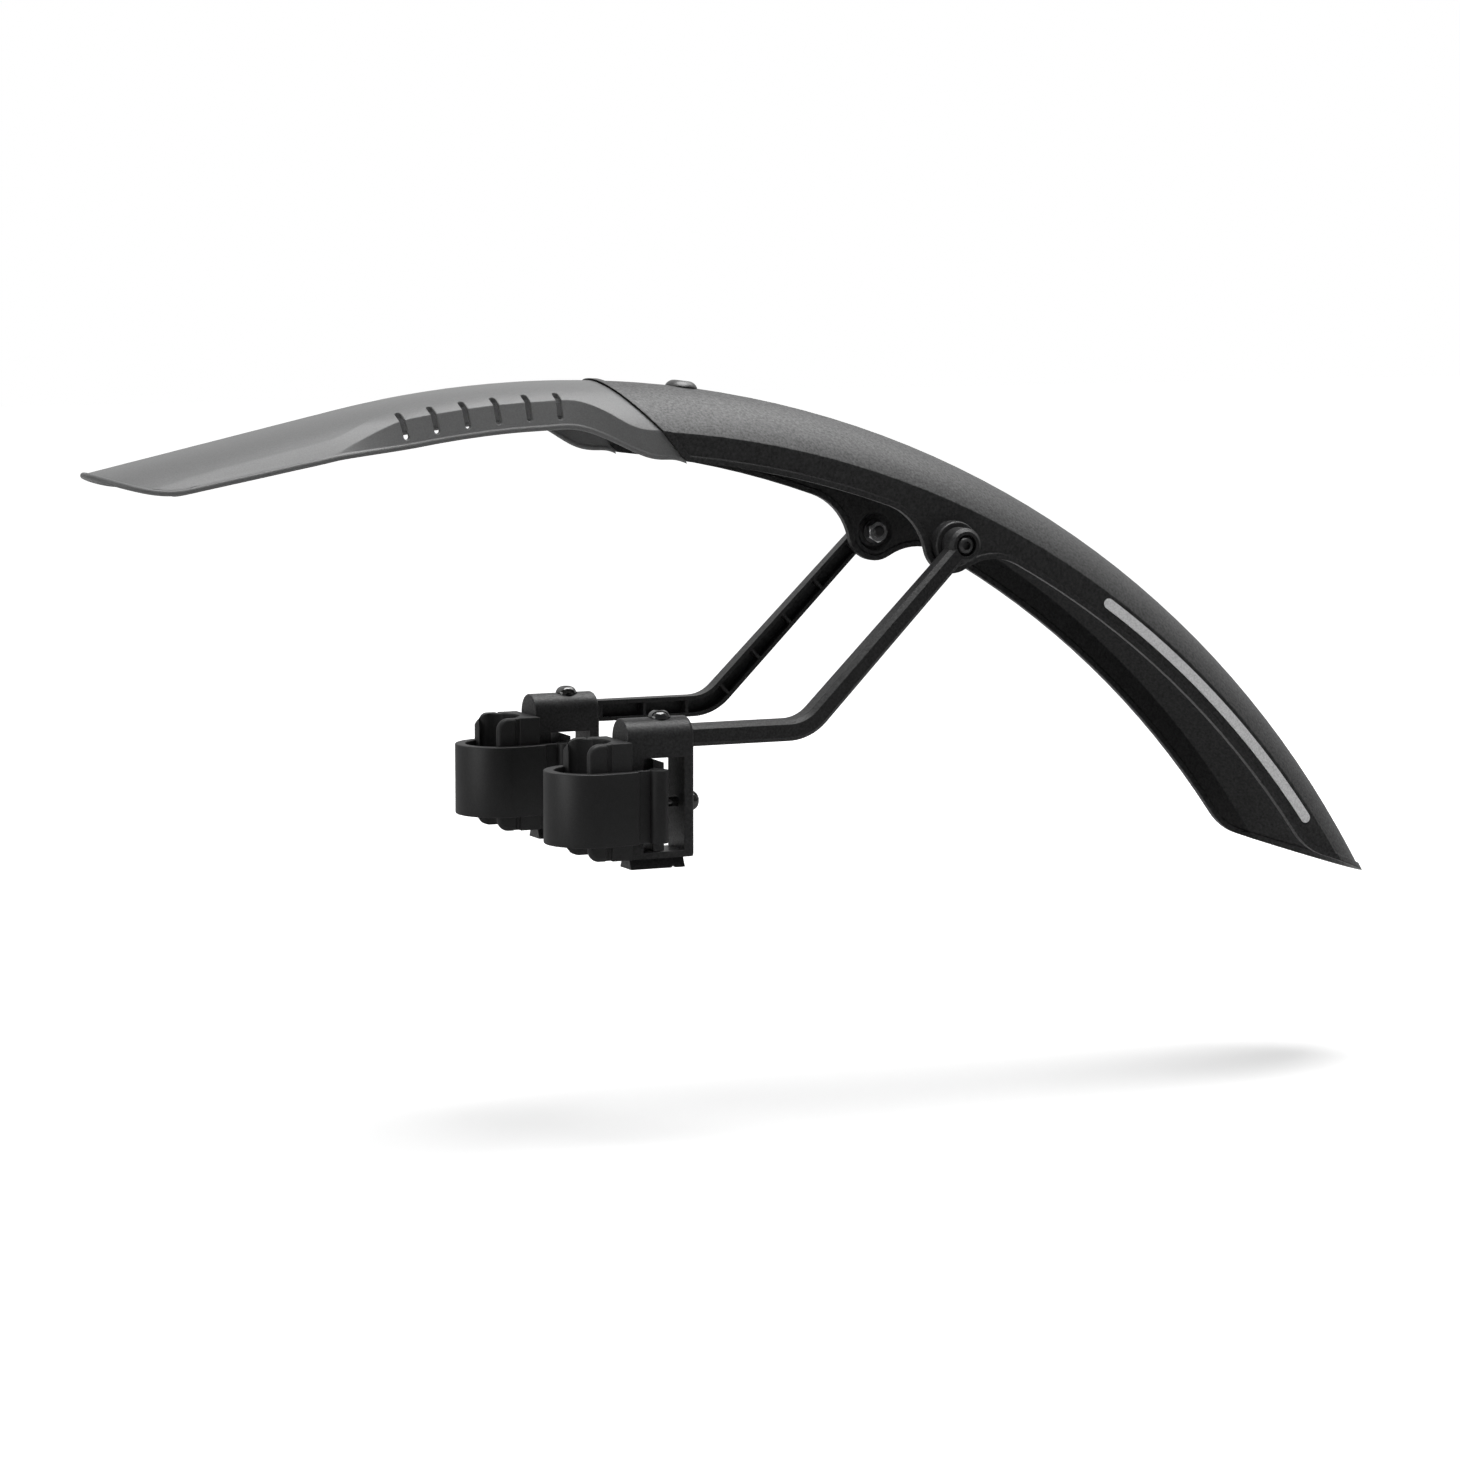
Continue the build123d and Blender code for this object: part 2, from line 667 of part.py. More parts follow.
def build_pad():
    half = pad_width / 2
    rear = block_front
    plan = Pos((pad_front + rear) / 2, 0) * Rectangle(rear - pad_front, pad_width)
    plan = plan - Circle(stay_radius)
    plan = plan - Pos(-30, 0) * Rectangle(60, 2 * stay_radius)
    tips = [v for v in plan.vertices() if v.X < pad_front + 0.1]
    plan = fillet(tips, pad_tip_radius)
    body = Pos(0, 0, -pad_height / 2) * extrude(plan, pad_height)
    side = Pos((pad_front + rear) / 2 + 10, 0) * Rectangle(rear - pad_front + 20, pad_height)
    ends = [v for v in side.vertices() if v.X < pad_front + 0.1]
    body = body & across(fillet(ends, pad_corner), pad_width)
    for s in (1, -1):
        body = body - Pos(pad_groove_x, s * half, 0) * Box(pad_groove_width, 2 * pad_groove_depth, 2 * pad_height)
    key = Pos(rear + pad_key_depth / 2 - 0.5, 0, 0) * Box(pad_key_depth + 1, pad_key_width, pad_key_height)
    return body + key


def build_strap():
    end_in = pad_width / 2 + apart
    end_out = end_in + strap_end_thickness
    plan = make_face([
        ThreePointArc((0, strap_outer), (-strap_outer, 0), (0, -strap_outer)),
        Polyline((0, -strap_outer), (strap_band_end, -end_out), (strap_band_end, -end_in), (0, -strap_inner)),
        ThreePointArc((0, -strap_inner), (-strap_inner, 0), (0, strap_inner)),
        Polyline((0, strap_inner), (strap_band_end, end_in), (strap_band_end, end_out), (0, strap_outer)),
    ])
    for s in (1, -1):
        neck_in = end_in - strap_neck_drop
        neck_out = neck_in + strap_neck
        neck = make_face(Polyline(
            (strap_band_end - strap_hem, s * (end_in + 1)), (strap_band_end, s * (end_in + 1)),
            (strap_band_end, s * neck_out), (pin_x, s * neck_out), (pin_x, s * neck_in),
            (strap_band_end - strap_hem, s * neck_in), close=True))
        eye = Pos(pin_x, s * pin_y) * Circle(loop_radius)
        plan = plan + neck + eye
    for s in (1, -1):
        plan = plan - Pos(pin_x, s * pin_y) * Circle(loop_pin_radius + running)
        slit = Rectangle(loop_web_width + 2 * running, 2 * loop_radius)
        plan = plan - Pos(pin_x, s * (pin_y - loop_radius)) * slit
    body = extrude(plan, strap_height)
    return Pos(0, 0, strap_z - strap_height / 2) * body


def build_bar():
    half = block_width / 2 - 0.4
    low, high = window_bottom + apart, window_top - apart
    post = make_face(Polyline(
        (bar_front, low), (bar_rear, low), (bar_rear, high - 2), (bar_front, high), close=True))
    body = across(post, half)
    for s in (1, -1):
        pin = Pos(pin_x, s * pin_y) * Circle(loop_pin_radius)
        web = Pos(pin_x, s * (half - 1 + pin_y) / 2) * Rectangle(loop_web_width, pin_y - half + 1)
        body = body + Pos(0, 0, strap_z - strap_height / 2) * extrude(pin + web, strap_height)
    bore = Cylinder(tension_thread / 2 + running, 60)
    return body - Pos(bar_rear, 0, tension_z) * Rot(0, 90, 0) * bore


def build_clamp():
    pieces = {}
    pieces["clamp_body"] = build_clamp_body()
    pieces["stay_pad"] = build_pad()
    pieces["strap"] = build_strap()
    pieces["tension_bar"] = build_bar()
    seat = socket_z + block_width / 2 - 0.8
    tip = socket_z + peg_radius - peg_groove_depth + apart
    lock = dome_screw(lock_head, lock_head_height, lock_thread, seat - tip, 4.0)
    pieces["lock_screw"] = Pos(lock_x, 0, seat) * lock
    back = Pos(block_rear, 0, tension_z) * Rot(0, 90, 0)
    pieces["tension_washer"] = back * ring(tension_head + 0.8, tension_thread + 2 * loose, tension_washer_height)
    reach = block_rear + tension_washer_height - window_front - 1.0
    screw = dome_screw(tension_head, tension_head_height, tension_thread, reach, 4.0)
    pieces["tension_screw"] = back * Pos(0, 0, tension_washer_height) * screw
    return pieces


def build_pivot():
    pieces = {}
    bolt_seat = arm_out_y - pivot_head_height + 0.3
    floor_y = half_crown - blade_wall + dish_depth
    nut_y = floor_y - washer_height - nut_height
    bolt = dome_screw(pivot_head, pivot_head_height, pivot_thread, bolt_seat - nut_y + 1.0, 4.0)
    pieces["pivot_bolt"] = along_y(bolt, pivot_x, bolt_seat, pivot_z)
    washer = ring(washer_diameter, pivot_thread + 2 * loose, washer_height)
    pieces["pivot_washer"] = along_y(washer, pivot_x, floor_y - washer_height, pivot_z)
    nut = Rot(180, 0, 0) * hex_nut(nut_flats, nut_height, pivot_thread)
    pieces["pivot_nut"] = along_y(Rot(0, 0, 30) * nut, pivot_x, floor_y - washer_height, pivot_z)
    return pieces


def build_ext_fixing():
    pieces = {}
    hollow = arch_radius - blade_wall - bead_in - loose - tongue_wall
    sag = hollow - sqrt(hollow ** 2 - (washer_diameter / 2) ** 2) + 0.05
    inner = arch_radius - hollow + sag
    length = inner - ext_bolt_seat + washer_height + nut_height + 1.2
    screw = dome_screw(ext_bolt_head, ext_bolt_height, ext_bolt_thread, length, 4.0)
    pieces["extension_bolt"] = on_crown(Pos(0, 0, -ext_bolt_seat) * screw, ext_bolt_angle)
    washer = ring(washer_diameter, ext_bolt_thread + 2 * loose, washer_height)
    pieces["extension_washer"] = on_crown(Pos(0, 0, -inner - washer_height) * washer, ext_bolt_angle)
    nut = Pos(0, 0, -inner - washer_height) * Rot(180, 0, 0) * hex_nut(nut_flats, nut_height, ext_bolt_thread)
    pieces["extension_nut"] = on_crown(nut, ext_bolt_angle)
    return pieces


def main():
    os.makedirs("parts", exist_ok=True)
    save(build_blade(), "blade")
    save(build_extension(), "front_extension")
    for name, shape in build_ext_fixing().items():
        save(shape, name)
    strip = strip_solid(0, half_crown - strip_pocket, half_crown - strip_pocket + strip_thickness)
    sides = {"reflector": strip, "arm": build_arm()}
    sides.update(build_pivot())
    for name, shape in build_clamp().items():
        sides[name] = Pos(0, stay_y, 0) * shape
    for name, shape in sides.items():
        right, left = both_sides(shape)
        save(right, name + "_right")
        save(left, name + "_left")


main()
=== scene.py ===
import bpy
import math
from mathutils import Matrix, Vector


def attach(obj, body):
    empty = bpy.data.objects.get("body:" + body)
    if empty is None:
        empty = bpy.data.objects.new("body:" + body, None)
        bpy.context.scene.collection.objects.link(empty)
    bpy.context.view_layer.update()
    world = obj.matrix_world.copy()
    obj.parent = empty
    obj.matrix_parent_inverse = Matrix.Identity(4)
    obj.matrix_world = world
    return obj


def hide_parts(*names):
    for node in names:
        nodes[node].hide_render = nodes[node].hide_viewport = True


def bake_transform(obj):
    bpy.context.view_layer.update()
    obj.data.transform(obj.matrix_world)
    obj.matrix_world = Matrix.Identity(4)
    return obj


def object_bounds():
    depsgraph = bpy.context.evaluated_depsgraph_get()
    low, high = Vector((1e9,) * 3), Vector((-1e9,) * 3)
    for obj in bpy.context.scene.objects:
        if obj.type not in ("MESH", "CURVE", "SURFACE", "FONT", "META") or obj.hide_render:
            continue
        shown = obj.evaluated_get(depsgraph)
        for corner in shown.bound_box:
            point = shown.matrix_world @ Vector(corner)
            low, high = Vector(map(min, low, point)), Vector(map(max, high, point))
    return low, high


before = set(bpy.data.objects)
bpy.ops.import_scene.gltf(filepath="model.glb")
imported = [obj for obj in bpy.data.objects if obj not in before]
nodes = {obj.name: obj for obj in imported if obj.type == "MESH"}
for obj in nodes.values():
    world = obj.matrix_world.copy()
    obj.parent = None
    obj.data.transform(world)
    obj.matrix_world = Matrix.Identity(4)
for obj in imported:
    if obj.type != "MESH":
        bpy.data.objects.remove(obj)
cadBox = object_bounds()
print("frame loaded,", len(nodes), "nodes")

sides = {"left": -1, "right": 1}


# small helpers

def deselectAll():
    for obj in bpy.context.selected_objects:
        obj.select_set(False)


def makeActive(obj):
    deselectAll()
    obj.select_set(True)
    bpy.context.view_layer.objects.active = obj


def editMesh(obj):
    makeActive(obj)
    bpy.ops.object.mode_set(mode="EDIT")
    bpy.ops.mesh.select_all(action="DESELECT")
    bpy.ops.object.mode_set(mode="OBJECT")


def pickFaces(obj, test):
    # marks the faces that pass a test on their middle and normal
    editMesh(obj)
    bpy.ops.object.mode_set(mode="EDIT")
    bpy.ops.mesh.select_mode(type="FACE")
    bpy.ops.object.mode_set(mode="OBJECT")
    for f in obj.data.polygons:
        f.select = test(f.center, f.normal)
    bpy.ops.object.mode_set(mode="EDIT")


def leaveEdit():
    bpy.ops.object.mode_set(mode="OBJECT")


def settle(obj):
    # puts place, turn and size into the mesh
    makeActive(obj)
    bpy.ops.object.transform_apply(location=True, rotation=True, scale=True)


def dress(obj, finish):
    obj.data.materials.clear()
    obj.data.materials.append(finish)


# shared surface effects, as node groups

def groupSockets(group, inputs, outputs):
    for name, default in inputs:
        socket = group.interface.new_socket(name, in_out="INPUT", socket_type="NodeSocketFloat")
        socket.default_value = default
    for name in outputs:
        group.interface.new_socket(name, in_out="OUTPUT", socket_type="NodeSocketFloat")


def mathNode(tree, operation, a=None, b=None, clamp=False):
    node = tree.nodes.new("ShaderNodeMath")
    node.operation = operation
    node.use_clamp = clamp
    for k, value in enumerate((a, b)):
        if value is None:
            continue
        if isinstance(value, (int, float)):
            node.inputs[k].default_value = value
        else:
            tree.links.new(value, node.inputs[k])
    return node.outputs[0]


def noiseNode(tree, coords, scale, detail, rough=0.5):
    node = tree.nodes.new("ShaderNodeTexNoise")
    node.inputs["Detail"].default_value = detail
    node.inputs["Roughness"].default_value = rough
    tree.links.new(coords, node.inputs["Vector"])
    if isinstance(scale, (int, float)):
        node.inputs["Scale"].default_value = scale
    else:
        tree.links.new(scale, node.inputs["Scale"])
    return node.outputs["Fac"]


def mouldGrainGroup():
    # spark-eroded mould texture: fine pits, a coarser orange peel and a slow change of shade
    group = bpy.data.node_groups.new("mouldGrain", "ShaderNodeTree")
    groupSockets(group, [("Grain", 1600.0), ("Peel", 240.0), ("Shade", 14.0)], ["Height", "Speckle", "Cloud"])
    start = group.nodes.new("NodeGroupInput")
    end = group.nodes.new("NodeGroupOutput")
    coords = group.nodes.new("ShaderNodeTexCoord").outputs["Object"]
    fine = noiseNode(group, coords, start.outputs["Grain"], 2.0, 0.6)
    peel = noiseNode(group, coords, start.outputs["Peel"], 1.0)
    cloud = noiseNode(group, coords, start.outputs["Shade"], 3.0, 0.55)
    pits = mathNode(group, "MULTIPLY", fine, 0.75)
    waves = mathNode(group, "MULTIPLY", peel, 0.25)
    height = mathNode(group, "ADD", pits, waves)
    group.links.new(height, end.inputs["Height"])
    group.links.new(fine, end.inputs["Speckle"])
    group.links.new(cloud, end.inputs["Cloud"])
    return group


def handlingGroup():
    # faint dust on faces that look up, and rubbed streaks
    group = bpy.data.node_groups.new("handling", "ShaderNodeTree")
    groupSockets(group, [("Streak", 60.0), ("Dust", 0.5)], ["Dusty", "Rubbed"])
    start = group.nodes.new("NodeGroupInput")
    end = group.nodes.new("NodeGroupOutput")
    coords = group.nodes.new("ShaderNodeTexCoord").outputs["Object"]
    geometry = group.nodes.new("ShaderNodeNewGeometry")
    split = group.nodes.new("ShaderNodeSeparateXYZ")
    group.links.new(geometry.outputs["Normal"], split.inputs[0])
    upward = mathNode(group, "MULTIPLY", split.outputs["Z"], split.outputs["Z"])
    facing = mathNode(group, "MULTIPLY", upward, mathNode(group, "GREATER_THAN", split.outputs["Z"], 0.0))
    patch = noiseNode(group, coords, 90.0, 4.0, 0.6)
    dust = mathNode(group, "MULTIPLY", facing, patch)
    dust = mathNode(group, "MULTIPLY", dust, start.outputs["Dust"], True)
    stretch = group.nodes.new("ShaderNodeMapping")
    stretch.inputs["Scale"].default_value = (0.12, 1.0, 1.0)
    group.links.new(coords, stretch.inputs["Vector"])
    rubbed = noiseNode(group, stretch.outputs[0], start.outputs["Streak"], 2.0)
    group.links.new(dust, end.inputs["Dusty"])
    group.links.new(rubbed, end.inputs["Rubbed"])
    return group


mouldGrain = mouldGrainGroup()
handling = handlingGroup()
print("surface groups ready")


def mixColour(tree, factor, first, second):
    node = tree.nodes.new("ShaderNodeMix")
    node.data_type = "RGBA"
    tree.links.new(factor, node.inputs["Factor"])
    for socket, value in ((node.inputs[6], first), (node.inputs[7], second)):
        if isinstance(value, tuple):
            socket.default_value = value + (1.0,)
        else:
            tree.links.new(value, socket)
    return node.outputs[2]


def spread(tree, value, low, high):
    # maps a noise value round its middle to a range
    node = tree.nodes.new("ShaderNodeMapRange")
    node.inputs["From Min"].default_value = 0.25
    node.inputs["From Max"].default_value = 0.75
    node.inputs["To Min"].default_value = low
    node.inputs["To Max"].default_value = high
    tree.links.new(value, node.inputs["Value"])
    return node.outputs[0]


def mouldedFinish(name, look):
    # one moulded plastic or rubber: speckled colour, uneven gloss and a grained surface
    finish = bpy.data.materials.new(name)
    finish.use_nodes = True
    tree = finish.node_tree
    shader = tree.nodes["Principled BSDF"]
    grain = tree.nodes.new("ShaderNodeGroup")
    grain.node_tree = mouldGrain
    grain.inputs["Grain"].default_value = look["grain"]
    grain.inputs["Peel"].default_value = look["peel"]
    touch = tree.nodes.new("ShaderNodeGroup")
    touch.node_tree = handling
    touch.inputs["Dust"].default_value = look["dust"]
    base = mixColour(tree, spread(tree, grain.outputs["Speckle"], 0.0, 1.0), look["dark"], look["light"])
    base = mixColour(tree, touch.outputs["Dusty"], base, look["dustColour"])
    tree.links.new(base, shader.inputs["Base Color"])
    span = look["roughSpan"]
    sheen = spread(tree, grain.outputs["Cloud"], look["rough"] - span, look["rough"] + span)
    uneven = mathNode(tree, "MULTIPLY", spread(tree, touch.outputs["Rubbed"], -1.0, 1.0), 0.4 * span)
    tree.links.new(mathNode(tree, "ADD", sheen, uneven, True), shader.inputs["Roughness"])
    bump = tree.nodes.new("ShaderNodeBump")
    bump.inputs["Strength"].default_value = look["bump"]
    bump.inputs["Distance"].default_value = look["depth"]
    tree.links.new(grain.outputs["Height"], bump.inputs["Height"])
    edge = tree.nodes.new("ShaderNodeBevel")  # moulded edges are never quite sharp
    edge.samples = 6
    edge.inputs["Radius"].default_value = look["edge"]
    tree.links.new(edge.outputs["Normal"], bump.inputs["Normal"])
    tree.links.new(bump.outputs["Normal"], shader.inputs["Normal"])
    # the grain glints where the light falls
    tree.links.new(spread(tree, grain.outputs["Speckle"], 0.0, look["glint"]), shader.inputs["Coat Weight"])
    shader.inputs["Coat Roughness"].default_value = look["rough"]
    shader.inputs["IOR"].default_value = 1.5
    shader.inputs["Specular IOR Level"].default_value = look["gloss"]
    return finish


bladeLook = {
    "dark": (0.01, 0.01, 0.0102), "light": (0.018, 0.018, 0.0185), "rough": 0.48, "roughSpan": 0.05,
    "grain": 760.0, "peel": 320.0, "bump": 1.0, "depth": 0.0002, "edge": 0.0012, "gloss": 0.34,
    "glint": 0.85, "dust": 0.05, "dustColour": (0.16, 0.16, 0.16)}
extensionLook = {
    "dark": (0.116, 0.117, 0.117), "light": (0.148, 0.149, 0.149), "rough": 0.34, "roughSpan": 0.04,
    "grain": 1300.0, "peel": 300.0, "bump": 0.3, "depth": 0.00004, "edge": 0.001, "gloss": 0.31,
    "glint": 0.04, "dust": 0.04, "dustColour": (0.3, 0.3, 0.3)}
armLook = {
    "dark": (0.006, 0.006, 0.0062), "light": (0.016, 0.016, 0.0165), "rough": 0.48, "roughSpan": 0.06,
    "grain": 900.0, "peel": 420.0, "bump": 1.0, "depth": 0.0002, "edge": 0.0004, "gloss": 0.36,
    "glint": 0.5, "dust": 0.05, "dustColour": (0.14, 0.14, 0.14)}
clampLook = {
    "dark": (0.009, 0.009, 0.0093), "light": (0.019, 0.019, 0.0196), "rough": 0.43, "roughSpan": 0.06,
    "grain": 900.0, "peel": 420.0, "bump": 1.0, "depth": 0.0002, "edge": 0.0005, "gloss": 0.36,
    "glint": 0.5, "dust": 0.05, "dustColour": (0.14, 0.14, 0.14)}
rubberLook = {
    "dark": (0.011, 0.011, 0.0113), "light": (0.018, 0.018, 0.0185), "rough": 0.55, "roughSpan": 0.07,
    "grain": 1400.0, "peel": 260.0, "bump": 0.25, "depth": 0.00004, "edge": 0.0003, "gloss": 0.41,
    "glint": 0.04, "dust": 0.08, "dustColour": (0.12, 0.12, 0.12)}
strapLook = {
    "dark": (0.006, 0.006, 0.0063), "light": (0.013, 0.013, 0.0135), "rough": 0.5, "roughSpan": 0.06,
    "grain": 1400.0, "peel": 240.0, "bump": 0.22, "depth": 0.00004, "edge": 0.0003, "gloss": 0.44,
    "glint": 0.04, "dust": 0.06, "dustColour": (0.14, 0.14, 0.14)}

bladeBlack = mouldedFinish("bladeBlack", bladeLook)
extensionGrey = mouldedFinish("extensionGrey", extensionLook)
armBlack = mouldedFinish("armBlack", armLook)
clampBlack = mouldedFinish("clampBlack", clampLook)
padRubber = mouldedFinish("padRubber", rubberLook)
strapRubber = mouldedFinish("strapRubber", strapLook)
print("moulded finishes ready")


beadLook = {
    "dark": (0.55, 0.55, 0.555), "light": (0.84, 0.84, 0.845), "rough": 0.42, "roughSpan": 0.05,
    "cell": 1150.0, "cellShare": 0.9, "cloud": 40.0, "cloudShare": 0.35, "bump": 0.25, "depth": 0.00003,
    "gloss": 0.6}


def beadedFilm(look):
    # reflective film: tiny glass beads under a clear skin
    finish = bpy.data.materials.new("beadedFilm")
    finish.use_nodes = True
    tree = finish.node_tree
    shader = tree.nodes["Principled BSDF"]
    coords = tree.nodes.new("ShaderNodeTexCoord").outputs["Object"]
    cells = tree.nodes.new("ShaderNodeTexVoronoi")
    cells.inputs["Scale"].default_value = look["cell"]
    tree.links.new(coords, cells.inputs["Vector"])
    slow = noiseNode(tree, coords, look["cloud"], 2.0)
    tone = mathNode(tree, "ADD", mathNode(tree, "MULTIPLY", cells.outputs["Distance"], look["cellShare"]),
                    mathNode(tree, "MULTIPLY", slow, look["cloudShare"]), True)
    tree.links.new(mixColour(tree, tone, look["light"], look["dark"]), shader.inputs["Base Color"])
    sheen = spread(tree, slow, look["rough"] - look["roughSpan"], look["rough"] + look["roughSpan"])
    tree.links.new(sheen, shader.inputs["Roughness"])
    bump = tree.nodes.new("ShaderNodeBump")
    bump.inputs["Strength"].default_value = look["bump"]
    bump.inputs["Distance"].default_value = look["depth"]
    tree.links.new(cells.outputs["Distance"], bump.inputs["Height"])
    tree.links.new(bump.outputs["Normal"], shader.inputs["Normal"])
    shader.inputs["Specular IOR Level"].default_value = look["gloss"]
    return finish


metalLooks = {
    "boltBlack": {"dark": (0.004, 0.004, 0.004), "light": (0.009, 0.009, 0.0092), "rough": 0.09,
                  "metal": 0.0, "scale": 700.0, "index": 1.95},
    "boltSatin": {"dark": (0.012, 0.012, 0.0122), "light": (0.022, 0.022, 0.0225), "rough": 0.36,
                  "metal": 0.0, "scale": 900.0, "index": 1.7},
    "washerSteel": {"dark": (0.035, 0.035, 0.036), "light": (0.07, 0.07, 0.072), "rough": 0.32,
                    "metal": 0.6, "scale": 500.0, "index": 1.5},
    "nutChrome": {"dark": (0.7, 0.7, 0.71), "light": (0.86, 0.86, 0.87), "rough": 0.22,
                  "metal": 1.0, "scale": 420.0, "index": 1.5},
}
metalMarks = {"cloud": 120.0, "smoother": 0.04, "rougher": 0.05, "bump": 0.12, "depth": 0.00002}


def metalFinish(name, look):
    # plated or painted steel with faint turning marks
    finish = bpy.data.materials.new(name)
    finish.use_nodes = True
    tree = finish.node_tree
    shader = tree.nodes["Principled BSDF"]
    coords = tree.nodes.new("ShaderNodeTexCoord").outputs["Object"]
    marks = noiseNode(tree, coords, look["scale"], 3.0, 0.6)
    slow = noiseNode(tree, coords, metalMarks["cloud"], 2.0)
    base = mixColour(tree, spread(tree, slow, 0.0, 1.0), look["dark"], look["light"])
    tree.links.new(base, shader.inputs["Base Color"])
    sheen = spread(tree, marks, look["rough"] - metalMarks["smoother"], look["rough"] + metalMarks["rougher"])
    tree.links.new(sheen, shader.inputs["Roughness"])
    bump = tree.nodes.new("ShaderNodeBump")
    bump.inputs["Strength"].default_value = metalMarks["bump"]
    bump.inputs["Distance"].default_value = metalMarks["depth"]
    tree.links.new(marks, bump.inputs["Height"])
    tree.links.new(bump.outputs["Normal"], shader.inputs["Normal"])
    shader.inputs["Metallic"].default_value = look["metal"]
    shader.inputs["IOR"].default_value = look["index"]
    return finish


reflectiveFilm = beadedFilm(beadLook)
metals = {name: metalFinish(name, look) for name, look in metalLooks.items()}
print("metal and film finishes ready")

finishOf = {"blade": bladeBlack, "front_extension": extensionGrey, "extension_bolt": metals["boltSatin"],
            "extension_washer": metals["washerSteel"], "extension_nut": metals["nutChrome"]}
for side in sides:
    finishOf["reflector_" + side] = reflectiveFilm
    finishOf["arm_" + side] = armBlack
    finishOf["clamp_body_" + side] = clampBlack
    finishOf["tension_bar_" + side] = clampBlack
    finishOf["stay_pad_" + side] = padRubber
    finishOf["strap_" + side] = strapRubber
    finishOf["pivot_bolt_" + side] = metals["boltSatin"]
    for name in ("lock_screw_", "tension_screw_"):
        finishOf[name + side] = metals["boltBlack"]
    for name in ("pivot_washer_", "tension_washer_"):
        finishOf[name + side] = metals["washerSteel"]
    finishOf["pivot_nut_" + side] = metals["nutChrome"]
for name, finish in finishOf.items():
    dress(nodes[name], finish)
print("nodes dressed")


# rubber pads of the clamps, in millimetres round the stay's axis

mm = 0.001
stayY = 0.0585
cutLength = 80.0
smoothAngle = math.radians(40)
padSize = {
    "front": -6.0, "rear": 16.5, "halfWidth": 15.6, "halfHeight": 28.4, "cornerRound": 6.0, "tipRound": 2.1,
    "stayRadius": 11.0, "grooveX": 5.2, "grooveWidth": 1.5, "grooveDepth": 1.1, "panelRound": 0.9,
    "softEdge": 0.5, "coreInset": 0.3, "boreSides": 72, "cornerSteps": 10, "tipSteps": 6}


def cubeBetween(name, low, high):
    deselectAll()
    middle = [(low[k] + high[k]) / 2 * mm for k in range(3)]
    bpy.ops.mesh.primitive_cube_add(size=1.0, location=middle)
    box = bpy.context.object
    box.name = name
    box.scale = [(high[k] - low[k]) * mm for k in range(3)]
    settle(box)
    return box


def cutWith(obj, cutter):
    makeActive(obj)
    mod = obj.modifiers.new("cut", "BOOLEAN")
    mod.operation = "DIFFERENCE"
    mod.solver = "EXACT"
    mod.object = cutter
    bpy.ops.object.modifier_apply(modifier=mod.name)
    bpy.data.objects.remove(cutter, do_unlink=True)


def softenEdges(obj, width, angle, segments=3, clamp=True):
    makeActive(obj)
    mod = obj.modifiers.new("soften", "BEVEL")
    mod.width = width * mm
    mod.use_clamp_overlap = clamp
    mod.segments = segments
    mod.limit_method = "ANGLE"
    mod.angle_limit = math.radians(angle)
    bpy.ops.object.modifier_apply(modifier=mod.name)
    bpy.ops.object.shade_smooth_by_angle(angle=smoothAngle)


def pickEdges(obj, test):
    # marks the edges that pass a test on both their ends
    editMesh(obj)
    points = obj.data.vertices
    for e in obj.data.edges:
        e.select = test(points[e.vertices[0]].co / mm, points[e.vertices[1]].co / mm)
    bpy.ops.object.mode_set(mode="EDIT")
    bpy.ops.mesh.select_mode(type="EDGE")


def cutBore(obj):
    deselectAll()
    bpy.ops.mesh.primitive_cylinder_add(vertices=padSize["boreSides"], radius=padSize["stayRadius"] * mm,
                                        depth=cutLength * mm, location=(0, 0, 0))
    cutWith(obj, bpy.context.object)


def joinInto(target, others):
    deselectAll()
    for obj in others:
        obj.select_set(True)
    target.select_set(True)
    bpy.context.view_layer.objects.active = target
    bpy.ops.object.join()


def buildPad():
    # a grooved back piece with two upright walls that have full round rims
    p = padSize
    wide, tall = p["halfWidth"], p["halfHeight"]
    grooveFront = p["grooveX"] - p["grooveWidth"] / 2
    grooveRear = p["grooveX"] + p["grooveWidth"] / 2
    coreWide, coreTall = wide - p["grooveDepth"], tall - p["coreInset"]
    core = cubeBetween("stayPad", (0, -coreWide, -coreTall), (p["rear"], coreWide, coreTall))
    cutBore(core)
    softenEdges(core, p["softEdge"], 35)
    panel = cubeBetween("padPanel", (grooveRear, -wide, -tall), (p["rear"], wide, tall))
    cutBore(panel)
    softenEdges(panel, p["panelRound"], 35)
    parts = [panel]
    for s in (1, -1):
        low, high = sorted((s * p["stayRadius"], s * wide))
        wall = cubeBetween("padWall", (p["front"], low, -tall), (grooveFront, high, tall))
        pickEdges(wall, lambda a, b: max(a.x, b.x) < p["front"] + 0.1 and abs(a.z - b.z) < 0.1)
        bpy.ops.mesh.bevel(offset=p["cornerRound"] * mm, segments=p["cornerSteps"])
        leaveEdit()
        softenEdges(wall, p["tipRound"], 60, p["tipSteps"])
        parts.append(wall)
    joinInto(core, parts)
    return core


# strap: half of it is drawn and mirrored

strapSize = {
    "inner": 16.35, "thick": 5.25, "height": 35.4, "midZ": -3.0, "shoulderX": 9.0, "shoulderOut": 0.35,
    "bandEnd": 19.1, "endThick": 3.4, "endMid": 17.6, "endRound": 1.6, "hem": 2.1,
    "neck": 2.0, "neckMid": 14.5, "neckSink": 3.2, "eyeX": 30.3, "eyeY": 14.9, "eyeRadius": 4.8,
    "pinRadius": 2.45, "slit": 3.06, "softEdge": 0.6,
    "turnSteps": 30, "roundSteps": 6, "eyeSides": 48, "pinSides": 32}


